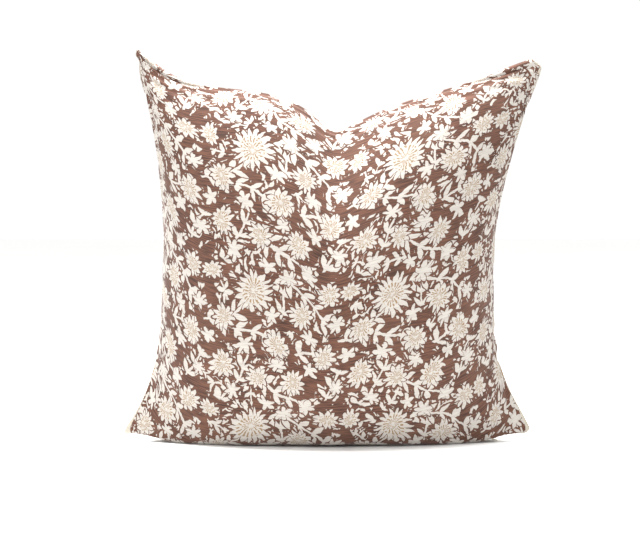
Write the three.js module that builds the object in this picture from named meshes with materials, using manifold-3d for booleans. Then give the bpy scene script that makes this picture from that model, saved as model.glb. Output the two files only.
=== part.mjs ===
// Throw pillow: a square printed cover with a hidden zip in its bottom seam, over a removable
// feather insert. It stands upright on its bottom seam, with a hand-chopped dent in the top seam.
// Millimetres, +Z up, printed face towards -Y, origin on the ground under the middle.
import * as THREE from "three";
import { mergeVertices } from "three/addons/utils/BufferGeometryUtils.js";
import Module from "manifold-3d";

const wasm = await Module();
wasm.setup();

// ---- Overall size, between the tips of the pointed corners ("ears") ----
const WIDTH = 512.6;
const HEIGHT = 483;
const DEPTH = 182; // front to back at the fullest point

// ---- Outline: x as a share of WIDTH, z as a share of HEIGHT ----
const EARS = {
  bottomLeft: [-0.5, 0.021],
  bottomRight: [0.483, 0.033],
  topLeft: [-0.4614, 1],
  topRight: [0.5, 0.9565],
};
const WAIST = { left: -0.401, right: 0.394 }; // where the side seams come closest to the middle
const TOP_SAG = 0.087; // how far the top seam falls below the line between its ears
const BOTTOM_SINK = 0.05; // how far the underside would bulge below the ground if nothing held it
const BELLY = 0.13; // share by which the fill settles from the top half to the bottom half
const EDGE_FULLNESS = 1.08; // 1 makes each section an ellipse, higher makes its edge more of a knife

// How late each seam bends out to its ear: low is a slope, high keeps it in until the tip.
const EAR_LATENESS = { leftTop: 1.7, leftBottom: 4.5, rightTop: 1.5, rightBottom: 2.8, top: 5, bottom: 6 };

// ---- The dent chopped into the top seam ----
const CHOP_X = 3;
const CHOP_DEPTH = 48;
const CHOP_REACH_LEFT = 35; // the left lip is steep, the right lip gentle
const CHOP_REACH_RIGHT = 72;
const CHOP_ROUNDING = 5;
const CHOP_SQUEEZE = 0.3; // share of the depth that the chop takes away at the seam
const CHOP_SQUEEZE_WIDTH = 62;
const CHOP_SQUEEZE_HEIGHT = 95;

// ---- Cloth, gaps and the underside ----
const GAP = 0.3; // between any two pieces that would touch
const COVER_CLOTH = 0.8; // slub cotton
const COVER_EDGE = 1.2; // the same cloth where it turns in at the seam
const SHELL_CLOTH = 0.5; // downproof cotton of the insert
const ZIP_SEAM_HEIGHT = 9; // of the zipped seam above the ground
const ARCH_LIFT = 2.5; // of the underside's middle, between the two ends that it rests on
const ARCH_REACH = 0.55; // share of the half width that the arch covers

// ---- The insert inside the cover ----
const INSERT_INSET = 9; // from the cover's seam to the insert's, along the sides and top
const INSERT_EAR_INSET = 22; // the same at the ears, which the insert doesn't fill
const INSERT_FACE_GAP = 1.2; // from the cover's inner face to the insert at the fullest point
const INSERT_FLOOR = 8.8; // underside of the insert, above the zip tapes
const INSERT_CREASE = 23; // height of the insert's bottom seam, above the slider
const FILL_GAP = 1.2; // from the inside of the insert to its filling
const INSERT_THREAD_GAP = 3.4; // from the edge of the insert to the thread that binds it

// ---- The zip ----
const ZIP_SHARE = 0.78; // of the bottom seam, between the inner ends of the stops
const ZIP_SLIT = 1.4; // between the two folded edges, so that the slider's neck can pass
const TAPE_WIDTH = 12;
const TAPE_THICKNESS = 0.4;
const TAPE_TILT = THREE.MathUtils.degToRad(27); // below level, as it lies on the panel's inside
const TAPE_TAIL = 3; // tape beyond each stop
const TAPE_START = 0.9; // from the middle to the tape's folded edge
const COIL_WIDTH = 1.5;
const COIL_HEIGHT = 2;
const STOP_LENGTH = 2.4;
const STITCH_INSET = 4; // from the tape's folded edge to the row of stitches
const THREAD = 0.5;

// ---- The slider and its pull ----
const SLIDER_LENGTH = 9;
const SLIDER_WALL = 0.8;
const SLIDER_PLAY = 0.35; // around the coils
const SLIDER_END_GAP = 1; // from the closed slider to the top stops
const NECK_THICKNESS = 0.8;
const NECK_LENGTH = 4;
const EYE_DROP = 3.8; // from the seam to the pull's pivot
const EYE_BORE_RADIUS = 1.25;
const EYE_RIM = 0.9;
const TAB_LENGTH = 20; // from the pivot to the tip
const TAB_WIDTH = 6;
const TAB_NECK_WIDTH = 4.6;
const TAB_THICKNESS = 1;
const TAB_BAR = 1.4; // the crossbar that turns in the slider's eye
const TAB_PLAY = 0.4; // between the tab and the eye
const TAB_HANG = THREE.MathUtils.degToRad(12.5); // below level, with its tip just off the ground

// ---- Labels, as [first, last] cells of the cloth grid ----
const LABEL_THICKNESS = 0.35;
const CARE_LABEL_CELLS = { across: [16, 17], up: [4, 6] };
const INSERT_LABEL_CELLS = { across: [12, 13], up: [8, 10] };

const CELLS = 22; // along each side of the grid that every cloth surface is drawn on
const ARC_SEGMENTS = 6; // for the curved ends of the small hardware
const FRONT = -1;
const BACK = 1;

// ---- Materials ----
const material = (color, roughness, metalness = 0) =>
  new THREE.MeshStandardMaterial({ color, roughness, metalness });
const printedCotton = material("#b98d74", 0.92);
const plainLinen = material("#e9e2d4", 0.93);
const ticking = material("#f1eee7", 0.9);
const feather = material("#f6f3ec", 1);
const zipTape = material("#e4dccb", 0.85);
const nylonCoil = material("#e8e1d2", 0.45);
const enamelledZinc = material("#d9cfba", 0.35, 0.3);
const polyesterThread = material("#d8cdb8", 0.7);
const satinTape = material("#f4f1ea", 0.6);

const { lerp, clamp } = THREE.MathUtils;

// ---- The pillow's skins ----

// 1 in the middle of a side, falling to 0 at its two ends.
function pullIn(s, lateAtStart, lateAtEnd) {
  return 1 - Math.abs(s) ** (s < 0 ? lateAtStart : lateAtEnd);
}

function chopAt(x) {
  const reach = x < CHOP_X ? CHOP_REACH_LEFT : CHOP_REACH_RIGHT;
  const away = Math.hypot(x - CHOP_X, CHOP_ROUNDING) - CHOP_ROUNDING;
  return Math.exp(-away / reach);
}

// The four ears of a skin, moved inwards by inset.
function earPoints(inset) {
  const place = ([x, z], inwards, down) => [x * WIDTH + inwards * inset, z * HEIGHT - down * inset];
  return {
    bottomLeft: place(EARS.bottomLeft, 1, -0.5),
    bottomRight: place(EARS.bottomRight, -1, -0.5),
    topLeft: place(EARS.topLeft, 1, 1),
    topRight: place(EARS.topRight, -1, 1),
  };
}

const cornerMiddle = (a, b, axis) => (a[axis] + b[axis]) / 2;

// The four sides of a skin's seam, each as [x, z] for a share of -1 to 1.
function seamSides(ears, inset) {
  const { bottomLeft, bottomRight, topLeft, topRight } = ears;
  const along = (from, to, share, axis) => lerp(from[axis], to[axis], (share + 1) / 2);
  const bowLeft = WAIST.left * WIDTH + inset - cornerMiddle(bottomLeft, topLeft, 0);
  const bowRight = WAIST.right * WIDTH - inset - cornerMiddle(bottomRight, topRight, 0);
  const topLine = (EARS.topLeft[1] + EARS.topRight[1]) / 2 - TOP_SAG;
  const topFall = topLine * HEIGHT - inset - cornerMiddle(topLeft, topRight, 1);
  const bottomFall = -BOTTOM_SINK * HEIGHT - cornerMiddle(bottomLeft, bottomRight, 1);

  const sideways = (from, to, bow, lateAtStart, lateAtEnd) => (t) => {
    const x = along(from, to, t, 0) + bow * pullIn(t, lateAtStart, lateAtEnd);
    return [x, along(from, to, t, 1)];
  };
  const late = EAR_LATENESS;
  return {
    left: sideways(bottomLeft, topLeft, bowLeft, late.leftBottom, late.leftTop),
    right: sideways(bottomRight, topRight, bowRight, late.rightBottom, late.rightTop),
    top: (s) => {
      const x = along(topLeft, topRight, s, 0);
      const chop = CHOP_DEPTH * chopAt(x) * pullIn(s, 2, 2);
      return [x, along(topLeft, topRight, s, 1) + topFall * pullIn(s, late.top, late.top) - chop];
    },
    bottom: (s) => [
      along(bottomLeft, bottomRight, s, 0),
      along(bottomLeft, bottomRight, s, 1) + bottomFall * pullIn(s, late.bottom, late.bottom),
    ],
  };
}

// A point between the four sides of the seam, as [x, z]: a Coons patch.
function betweenSides(sides, ears, s, t) {
  const across = (s + 1) / 2;
  const up = (t + 1) / 2;
  const ends = [sides.left(t), sides.right(t), sides.bottom(s), sides.top(s)];
  return [0, 1].map((axis) => {
    const [left, right, bottom, top] = ends.map((end) => end[axis]);
    const low = lerp(ears.bottomLeft[axis], ears.bottomRight[axis], across);
    const high = lerp(ears.topLeft[axis], ears.topRight[axis], across);
    return lerp(left, right, across) + lerp(bottom, top, up) - lerp(low, high, up);
  });
}

// The zip opening ends on a line of the grid, so that its slit has square ends.
const bottomSeam = (EARS.bottomRight[0] - EARS.bottomLeft[0]) * WIDTH;
const zipMiddle = ((EARS.bottomRight[0] + EARS.bottomLeft[0]) / 2) * WIDTH;
const zipLength = ZIP_SHARE * bottomSeam;
const slitAngle = Math.asin(Math.min(1, zipLength / bottomSeam + (2 * STOP_LENGTH) / bottomSeam));
const slitCells = Math.ceil((slitAngle / (Math.PI / 2)) * (CELLS / 2));
const slitEnd = slitCells / (CELLS / 2);

// One of the nested skins. u runs left to right and v bottom to top over the flat cloth, -1 to 1.
function makeSkin({ inset, earInset, halfDepth, floor, crease, slitHalf }) {
  const ears = earPoints(earInset);
  const sides = seamSides(ears, inset);

  return function pointAt(u, v, side) {
    const s = Math.sin((Math.PI / 2) * u);
    const t = Math.sin((Math.PI / 2) * v);
    const swell = Math.max(0, Math.cos((Math.PI / 2) * u) * Math.cos((Math.PI / 2) * v));
    const [x, z] = betweenSides(sides, ears, s, t);
    const below = (sides.top(s)[1] - z) / CHOP_SQUEEZE_HEIGHT;
    const beside = (x - CHOP_X) / CHOP_SQUEEZE_WIDTH;
    const squeeze = 1 - CHOP_SQUEEZE * Math.exp(-(below ** 2) - beside ** 2);
    const depth = halfDepth * swell ** EDGE_FULLNESS * (1 - BELLY * t) * squeeze;

    if (v <= -1) {
      const half = Math.abs(u) <= slitEnd ? slitHalf : GAP / 2;
      return new THREE.Vector3(x, side * half, Math.max(z, crease));
    }
    const arch = ARCH_LIFT * clamp(1 - (s / ARCH_REACH) ** 2, 0, 1);
    return new THREE.Vector3(x, side * (GAP / 2 + depth), Math.max(z, floor + arch));
  };
}

const fullest = DEPTH / 2 - GAP / 2;
const coverOuter = makeSkin({
  inset: 0, earInset: 0, halfDepth: fullest, floor: 0, crease: ZIP_SEAM_HEIGHT, slitHalf: ZIP_SLIT / 2,
});
const seamHeightInside = ZIP_SEAM_HEIGHT + COVER_EDGE;
const coverInner = makeSkin({
  inset: COVER_EDGE, earInset: 2 * COVER_EDGE, halfDepth: fullest - COVER_CLOTH, floor: COVER_CLOTH,
  crease: seamHeightInside, slitHalf: ZIP_SLIT / 2,
});

// A skin of the insert, step inside its outer face.
function insertSkin(step) {
  return makeSkin({
    inset: INSERT_INSET + 1.5 * step,
    earInset: INSERT_EAR_INSET + 3 * step,
    halfDepth: fullest - COVER_CLOTH - INSERT_FACE_GAP - step,
    floor: INSERT_FLOOR + step,
    crease: INSERT_CREASE + 1.5 * step,
    slitHalf: GAP / 2,
  });
}
const shellOuter = insertSkin(0);
const shellInner = insertSkin(SHELL_CLOTH);
const fillOuter = insertSkin(SHELL_CLOTH + FILL_GAP);

// ---- Solids ----

// Geometry from surfaces sampled on part of the cloth grid: two layers and the rim between them.
function betweenSurfaces(outer, inner, cells, facing) {
  const [firstAcross, lastAcross] = cells.across;
  const [firstUp, lastUp] = cells.up;
  const across = lastAcross - firstAcross;
  const up = lastUp - firstUp;
  const onCloth = (cell) => (2 * cell) / CELLS - 1;
  const positions = [];
  for (const surface of [outer, inner]) {
    for (let j = firstUp; j <= lastUp; j++) {
      for (let i = firstAcross; i <= lastAcross; i++) {
        const point = surface(onCloth(i), onCloth(j));
        positions.push(point.x, point.y, point.z);
      }
    }
  }
  const OUTER = 0;
  const INNER = 1;
  const at = (layer, i, j) => (layer * (up + 1) + j) * (across + 1) + i;
  const triangles = [];
  const quad = (a, b, c, d) => triangles.push([a, b, c], [a, c, d]);
  for (let j = 0; j < up; j++) {
    for (let i = 0; i < across; i++) {
      quad(at(OUTER, i, j), at(OUTER, i + 1, j), at(OUTER, i + 1, j + 1), at(OUTER, i, j + 1));
      quad(at(INNER, i, j), at(INNER, i, j + 1), at(INNER, i + 1, j + 1), at(INNER, i + 1, j));
    }
  }
  for (let i = 0; i < across; i++) {
    quad(at(INNER, i, 0), at(INNER, i + 1, 0), at(OUTER, i + 1, 0), at(OUTER, i, 0));
    quad(at(OUTER, i, up), at(OUTER, i + 1, up), at(INNER, i + 1, up), at(INNER, i, up));
  }
  for (let j = 0; j < up; j++) {
    quad(at(OUTER, 0, j), at(OUTER, 0, j + 1), at(INNER, 0, j + 1), at(INNER, 0, j));
    quad(at(INNER, across, j), at(INNER, across, j + 1), at(OUTER, across, j + 1), at(OUTER, across, j));
  }
  const turned = facing === FRONT ? triangles : triangles.map(([a, b, c]) => [a, c, b]);
  const geometry = new THREE.BufferGeometry();
  geometry.setAttribute("position", new THREE.Float32BufferAttribute(positions, 3));
  geometry.setIndex(turned.flat());
  return geometry;
}

const WHOLE_CLOTH = { across: [0, CELLS], up: [0, CELLS] };

// One cloth panel between two skins.
function panel(outerSkin, innerSkin, side) {
  const outer = (u, v) => outerSkin(u, v, side);
  const inner = (u, v) => innerSkin(u, v, side);
  return betweenSurfaces(outer, inner, WHOLE_CLOTH, side);
}

// A flat label just off one skin, on its side towards another skin, facing that way.
function label(skin, towards, cells, side, facing) {
  const layer = (offset) => (u, v) => {
    const start = skin(u, v, side);
    const direction = towards(u, v, side).sub(start).setLength(offset);
    return start.add(direction);
  };
  return betweenSurfaces(layer(GAP + LABEL_THICKNESS), layer(GAP), cells, facing);
}

function fillBody() {
  const front = (u, v) => fillOuter(u, v, FRONT);
  const back = (u, v) => fillOuter(u, v, BACK);
  return betweenSurfaces(front, back, WHOLE_CLOTH, FRONT);
}

// Straight lines from point to point, with a station at each point.
class StationLine extends THREE.Curve {
  constructor(points) {
    super();
    this.points = points;
  }

  getPoint(share, target = new THREE.Vector3()) {
    const last = this.points.length - 1;
    const along = clamp(share, 0, 1) * last;
    const start = Math.min(Math.floor(along), last - 1);
    return target.lerpVectors(this.points[start], this.points[start + 1], along - start);
  }

  getUtoTmapping(share) {
    return share;
  }
}

// A thread along a line of points, with a six-sided section.
function thread(points) {
  const circle = new THREE.EllipseCurve(0, 0, THREAD / 2, THREAD / 2);
  const section = new THREE.Shape(circle.getPoints(ARC_SEGMENTS));
  const extrudePath = new StationLine(points);
  return new THREE.ExtrudeGeometry(section, { steps: points.length - 1, extrudePath, bevelEnabled: false });
}

// A seam's thread round the four sides, from one line of the grid on the bottom to another.
function seamThread(skin, firstCell, lastCell) {
  const along = (cell) => (2 * cell) / CELLS - 1;
  const cornerToCorner = Array.from({ length: CELLS + 1 }, (_, i) => along(i));
  const betweenCorners = cornerToCorner.slice(1, -1);
  const outbound = cornerToCorner.slice(1, firstCell + 1).toReversed();
  const homebound = cornerToCorner.slice(lastCell, -1).toReversed();
  const cloth = [
    ...outbound.map((u) => [u, -1]),
    ...cornerToCorner.map((v) => [-1, v]),
    ...betweenCorners.map((u) => [u, 1]),
    ...cornerToCorner.toReversed().map((v) => [1, v]),
    ...homebound.map((u) => [u, -1]),
  ];
  return thread(cloth.map(([u, v]) => skin(u, v, FRONT).setY(0)));
}

function asManifold(geometry) {
  const bare = new THREE.BufferGeometry();
  bare.setAttribute("position", geometry.getAttribute("position"));
  bare.setIndex(geometry.getIndex());
  const welded = mergeVertices(bare, 1e-4);
  const vertProperties = new Float32Array(welded.getAttribute("position").array);
  const triVerts = new Uint32Array(welded.getIndex().array);
  return new wasm.Manifold(new wasm.Mesh({ numProp: 3, vertProperties, triVerts }));
}

function united(geometries) {
  const { vertProperties, triVerts } = wasm.Manifold.union(geometries.map(asManifold)).getMesh();
  const geometry = new THREE.BufferGeometry();
  geometry.setAttribute("position", new THREE.BufferAttribute(vertProperties, 3));
  geometry.setIndex(new THREE.BufferAttribute(triVerts, 1));
  return geometry;
}

// A box between two corners.
function boxBetween([x0, y0, z0], [x1, y1, z1]) {
  const geometry = new THREE.BoxGeometry(x1 - x0, y1 - y0, z1 - z0);
  return geometry.translate((x0 + x1) / 2, (y0 + y1) / 2, (z0 + z1) / 2);
}

const hardware = new THREE.Group();
hardware.name = "throw_pillow";

function place(name, geometry, itsMaterial, position = [0, 0, 0], rotation = [0, 0, 0]) {
  const mesh = new THREE.Mesh(geometry, itsMaterial);
  mesh.name = name;
  mesh.position.set(...position);
  mesh.rotation.set(...rotation);
  hardware.add(mesh);
}

// ---- Cover ----
place("cover_front_panel", panel(coverOuter, coverInner, FRONT), printedCotton);
place("cover_back_panel", panel(coverOuter, coverInner, BACK), plainLinen);

const seamSkin = makeSkin({
  inset: 3 * COVER_EDGE, earInset: 8 * COVER_EDGE, halfDepth: fullest, floor: COVER_CLOTH,
  crease: seamHeightInside + COVER_EDGE, slitHalf: 0,
});
const slitFirstCell = CELLS / 2 - slitCells;
const slitLastCell = CELLS / 2 + slitCells;
place("cover_seam_stitching", seamThread(seamSkin, slitFirstCell - 1, slitLastCell + 1), polyesterThread);
place("care_label", label(coverInner, shellOuter, CARE_LABEL_CELLS, BACK, FRONT), satinTape);

// ---- Insert ----
place("insert_front_shell", panel(shellOuter, shellInner, FRONT), ticking);
place("insert_back_shell", panel(shellOuter, shellInner, BACK), ticking);
place("insert_fill", fillBody(), feather);
place("insert_label", label(shellOuter, coverInner, INSERT_LABEL_CELLS, BACK, BACK), satinTape);

// ---- Zip: tapes, coils, stops and stitches on both sides of the seam ----
const tapeLength = zipLength + 2 * (STOP_LENGTH + TAPE_TAIL);
const tapeTop = seamHeightInside + GAP + TAPE_THICKNESS;
const coilBase = tapeTop + GAP;
const coilOuter = ZIP_SLIT / 2 + COIL_WIDTH;
const zipStart = zipMiddle - zipLength / 2;
const zipEnd = zipMiddle + zipLength / 2;

for (const [name, side] of [["front", FRONT], ["back", BACK]]) {
  const tape = new THREE.BoxGeometry(tapeLength, TAPE_WIDTH, TAPE_THICKNESS);
  tape.translate(0, (side * TAPE_WIDTH) / 2, -TAPE_THICKNESS / 2);
  const foldedEdge = [zipMiddle, side * TAPE_START, tapeTop];
  place(`zipper_tape_${name}`, tape, zipTape, foldedEdge, [-side * TAPE_TILT, 0, 0]);

  const coil = new THREE.BoxGeometry(zipLength, COIL_WIDTH, COIL_HEIGHT);
  const coilPlace = [zipMiddle, side * (ZIP_SLIT + COIL_WIDTH) / 2, coilBase + COIL_HEIGHT / 2];
  place(`zipper_coil_${name}`, coil, nylonCoil, coilPlace);

  const stop = new THREE.BoxGeometry(STOP_LENGTH, COIL_WIDTH, COIL_HEIGHT);
  const stopPlace = [zipEnd + GAP + STOP_LENGTH / 2, coilPlace[1], coilPlace[2]];
  place(`zipper_top_stop_${name}`, stop, enamelledZinc, stopPlace);

  const rowHeight = GAP + THREAD / 2; // of the thread's middle above the tape
  const row = [zipStart, zipEnd].map((x) => new THREE.Vector3(
    x,
    side * (TAPE_START + STITCH_INSET * Math.cos(TAPE_TILT) + rowHeight * Math.sin(TAPE_TILT)),
    tapeTop - STITCH_INSET * Math.sin(TAPE_TILT) + rowHeight * Math.cos(TAPE_TILT),
  ));
  place(`zipper_stitching_${name}`, thread(row), polyesterThread);
}

const bottomStop = new THREE.BoxGeometry(STOP_LENGTH, 2 * coilOuter, COIL_HEIGHT);
const bottomStopPlace = [zipStart - GAP - STOP_LENGTH / 2, 0, coilBase + COIL_HEIGHT / 2];
place("zipper_bottom_stop", bottomStop, enamelledZinc, bottomStopPlace);

const insertSeamSkin = makeSkin({
  inset: INSERT_INSET - INSERT_THREAD_GAP, earInset: INSERT_EAR_INSET - 2 * INSERT_THREAD_GAP,
  halfDepth: fullest, floor: INSERT_FLOOR, crease: INSERT_CREASE - INSERT_THREAD_GAP, slitHalf: 0,
});
place("insert_seam_stitching", seamThread(insertSeamSkin, CELLS / 2 - 1, CELLS / 2), polyesterThread);

// ---- Slider: a saddle over both coils, with a neck that passes out between the folded edges ----
function sliderBody() {
  const roof = coilBase + COIL_HEIGHT + SLIDER_PLAY;
  const inner = coilOuter + SLIDER_PLAY;
  const outer = inner + SLIDER_WALL;
  const half = SLIDER_LENGTH / 2;
  const wallFoot = tapeTop + GAP - (inner - TAPE_START) * Math.tan(TAPE_TILT) * 0.5;
  const pivotHeight = ZIP_SEAM_HEIGHT - EYE_DROP;

  const eye = new THREE.Shape().absarc(0, 0, EYE_BORE_RADIUS + EYE_RIM, 0, 2 * Math.PI);
  eye.holes.push(new THREE.Path().absarc(0, 0, EYE_BORE_RADIUS, 0, 2 * Math.PI, true));
  const eyePlate = new THREE.ExtrudeGeometry(eye, {
    depth: NECK_THICKNESS, bevelEnabled: false, curveSegments: 4 * ARC_SEGMENTS,
  });
  eyePlate.rotateX(Math.PI / 2).translate(0, NECK_THICKNESS / 2, pivotHeight);

  const neckFoot = pivotHeight + EYE_BORE_RADIUS + EYE_RIM / 2;
  return united([
    boxBetween([-half, -outer, roof], [half, outer, roof + SLIDER_WALL]),
    boxBetween([-half, -outer, wallFoot], [half, -inner, roof + SLIDER_WALL / 2]),
    boxBetween([-half, inner, wallFoot], [half, outer, roof + SLIDER_WALL / 2]),
    boxBetween(
      [-NECK_LENGTH / 2, -NECK_THICKNESS / 2, neckFoot],
      [NECK_LENGTH / 2, NECK_THICKNESS / 2, roof + SLIDER_WALL / 2],
    ),
    eyePlate,
  ]);
}

// ---- Pull tab: a flat teardrop with a crossbar at its narrow end ----
function pullTab() {
  const neckHalf = TAB_NECK_WIDTH / 2;
  const round = TAB_WIDTH / 2;
  const start = -TAB_BAR / 2;
  const outline = new THREE.Shape();
  outline.moveTo(start, -neckHalf);
  outline.lineTo(TAB_LENGTH - round, -round);
  outline.absarc(TAB_LENGTH - round, 0, round, -Math.PI / 2, Math.PI / 2, false);
  outline.lineTo(start, neckHalf);
  outline.closePath();

  const slotStart = TAB_BAR / 2;
  const slotEnd = EYE_BORE_RADIUS + EYE_RIM + TAB_PLAY;
  const slotHalf = NECK_THICKNESS / 2 + TAB_PLAY;
  const slot = new THREE.Path();
  slot.moveTo(slotStart, -slotHalf);
  slot.lineTo(slotStart, slotHalf);
  slot.lineTo(slotEnd, slotHalf);
  slot.lineTo(slotEnd, -slotHalf);
  slot.closePath();
  outline.holes.push(slot);

  const settings = { depth: TAB_THICKNESS, bevelEnabled: false, curveSegments: ARC_SEGMENTS };
  return new THREE.ExtrudeGeometry(outline, settings).translate(0, 0, -TAB_THICKNESS / 2);
}

const closedAt = zipEnd - SLIDER_END_GAP - SLIDER_LENGTH / 2;
place("zipper_slider", sliderBody(), enamelledZinc, [closedAt, 0, 0]);
const pivot = [closedAt, 0, ZIP_SEAM_HEIGHT - EYE_DROP];
place("zipper_pull_tab", pullTab(), enamelledZinc, pivot, [0, TAB_HANG, 0]);

export default hardware;
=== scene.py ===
"""Throw pillow: the printed cloth cover, its zip and its feather insert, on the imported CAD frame.

Metres, +Z up, the printed face towards -Y. The cover is two flat square panels that are sewn edge to
edge, blown up and chopped by a cloth simulation.
"""
import math

import bpy
import numpy as np
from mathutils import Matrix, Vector
from mathutils.bvhtree import BVHTree


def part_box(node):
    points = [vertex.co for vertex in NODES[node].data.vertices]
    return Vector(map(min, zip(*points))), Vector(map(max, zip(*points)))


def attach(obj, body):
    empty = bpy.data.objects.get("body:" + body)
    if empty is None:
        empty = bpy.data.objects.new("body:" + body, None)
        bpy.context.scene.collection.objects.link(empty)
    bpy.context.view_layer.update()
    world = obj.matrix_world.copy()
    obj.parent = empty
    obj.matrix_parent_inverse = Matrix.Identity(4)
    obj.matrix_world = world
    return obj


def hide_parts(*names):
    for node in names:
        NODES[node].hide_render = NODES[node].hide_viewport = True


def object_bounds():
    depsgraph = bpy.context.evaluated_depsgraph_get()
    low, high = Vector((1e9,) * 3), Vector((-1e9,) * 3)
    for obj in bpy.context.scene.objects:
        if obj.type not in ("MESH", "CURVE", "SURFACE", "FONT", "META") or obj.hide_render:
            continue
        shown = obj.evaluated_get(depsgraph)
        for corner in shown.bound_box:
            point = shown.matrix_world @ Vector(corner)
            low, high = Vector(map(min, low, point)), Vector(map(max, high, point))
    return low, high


bl_info = {
    "name": "Throw Pillow",
    "version": (1, 0, 0),
    "blender": (4, 5, 0),
    "location": "View3D > Sidebar > Pillow",
    "description": "Builds a zipped throw pillow in printed cotton over a feather insert",
    "category": "Add Mesh",
}

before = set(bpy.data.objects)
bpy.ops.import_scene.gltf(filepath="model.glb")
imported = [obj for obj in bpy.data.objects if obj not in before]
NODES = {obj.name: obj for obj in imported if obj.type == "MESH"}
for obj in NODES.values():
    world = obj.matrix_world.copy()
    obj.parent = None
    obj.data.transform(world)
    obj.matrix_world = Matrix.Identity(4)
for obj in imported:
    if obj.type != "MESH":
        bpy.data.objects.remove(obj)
CAD_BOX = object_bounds()

MM = 0.001
FRONT = -1
BACK = 1

# The plumped cover, in mm or as shares of WIDTH and HEIGHT: close to its CAD solid, with blunter ears
WIDTH = 512.6
HEIGHT = 483.0
EARS = {
    "bottom_left": (-0.516, 0.021),
    "bottom_right": (0.495, 0.033),
    "top_left": (-0.482, 1.048),
    "top_right": (0.515, 0.991),
}
EAR_BLUNTNESS = {"bottom": 0.015, "top": 0.052}
EAR_ROUNDNESS = 26
WAIST = {"left": -0.401, "right": 0.390}
TOP_SAG = 0.136
BOTTOM_SINK = 0.05
BELLY = 0.13
EDGE_FULLNESS = 1.08
EVENNESS = 0.75
SEAM_EVENING = 4  # how suddenly the cloth's curve gives way to even spacing along the seam
EAR_LATENESS = {"left_top": 1.7, "left_bottom": 5.2, "right_top": 1.5, "right_bottom": 4,
                "top_left": 7.5, "top_right": 2, "bottom": 6}
CHOP_X = 3
CHOP_DEPTH = 52
CHOP_REACH = {"left": 32, "right": 62}
CHOP_ROUNDING = 3
CHOP_SQUEEZE = 0.3
CHOP_SQUEEZE_SIZE = (62, 95)
ARCH_LIFT = 2.5
ARCH_REACH = 0.55
ZIP_SEAM_HEIGHT = 9.0
VALLEY_HALF_WIDTH = 12.0  # from the zipped seam to where each panel meets the ground

# The print: motifs in one repeat, in mm
REPEAT = (171.0, 158.0)
PRINT_OFFSET = (70.0, 32.0)
# centre x, centre y, radius, turn in degrees, petals
BLOOMS = [
    (60, 118, 25, -20, 17), (24, 84, 16, 10, 11), (118, 100, 16.5, 40, 12), (90, 62, 15, 80, 10),
    (152, 134, 15, 5, 11), (22, 32, 16, 65, 12), (66, 22, 14, 20, 10), (112, 18, 16.5, 50, 12),
    (150, 58, 15.5, 30, 11), (8, 134, 13, 70, 10),
]
STARS = [
    (50, 56, 11.5, 10, 6), (84, 92, 11, 40, 5), (130, 78, 10, 25, 6), (100, 136, 11.5, 60, 6),
    (128, 150, 11, 15, 5), (36, 2, 11, 33, 6), (78, 150, 10, 50, 5), (162, 96, 11, 5, 6),
    (132, 38, 11, 45, 5), (90, 36, 10, 70, 5), (163, 20, 11, 20, 6), (4, 60, 10, 55, 5),
]
# centre and turn in degrees of a sprig, then its length, bend per mm, leaf spacing, leaf length, leaf width,
# leaf slant and stem half width
SPRIGS = [
    ((40, 92), 35, 90, 0.006, 17, 17, 6.2, 48, 1.5),
    ((122, 122), -25, 90, -0.006, 17, 17, 6.2, 50, 1.5),
    ((60, 72), -15, 90, -0.005, 17, 16, 6, 45, 1.5),
    ((120, 56), 20, 90, 0.007, 17, 17, 6.2, 50, 1.5),
    ((44, 20), 60, 72, 0.005, 17, 16, 6, 48, 1.4),
    ((92, 6), -30, 90, 0.006, 17, 17, 6.2, 45, 1.5),
    ((150, 10), 70, 72, -0.006, 17, 16, 6, 48, 1.4),
    ((160, 78), 80, 72, 0.006, 17, 16, 6, 46, 1.4),
    ((98, 118), 75, 54, -0.006, 17, 15, 5.8, 46, 1.4),
]
# cell and shift of the sprigs in the gaps between the flowers, then the same as above
LOOSE_SPRIGS = [
    (30, (37, 91, 0), 34, 0.012, 12, 12, 4.8, 48, 1.2),
    (26, (111, 273, 0), 28, -0.014, 11, 11, 4.4, 50, 1.1),
]
# cell and shift of the single leaves in what is left, then their length and width
LOOSE_LEAVES = [(15, (57, 33, 0), 14, 5)]
# ground left between the motifs, as a share of a leaf's half width
SPRIG_CLEARANCE = 0.5
LEAF_CLEARANCE = 1.0
FLOWER_STEEPNESS = 3
BLOOM_NOTCH = 0.42  # depth of the notches between petals, as a share of the flower's radius
STAR_NOTCH = 0.66
NOTCH_POWER = 1.4
PETAL_WOBBLE = 0.5
INK_EDGE = 0.015
STAMENS = 19
STAMEN_WIDTH = 0.24
STAMEN_RING = (0.1, 0.58)
STAMEN_BREAKS = 0.38
HAND_CUT = [(5, 1, 2.4), (30, 0, 10)]  # size of the wandering, its detail and how far it reaches
SLUB_PITCH = 1.25
SLUB_LENGTH = 23.0
THREAD_PITCH = 0.55

WAVE_BAND = 0.31  # width of one band of the wave texture at a scale of 1

# width and length of the two blank labels, in metres
CARE_LABEL = (0.033, 0.0505)
INSERT_LABEL = (0.028, 0.062)

# name, place, size and power of the studio's soft lights
SOFT_BOXES = [
    ("overhead_light", (-0.2, 0.07, 1.5), 0.9, 76),
    ("front_light", (-1.2, -3.0, 1.4), 1.8, 3),
]


# ---- settings

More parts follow.
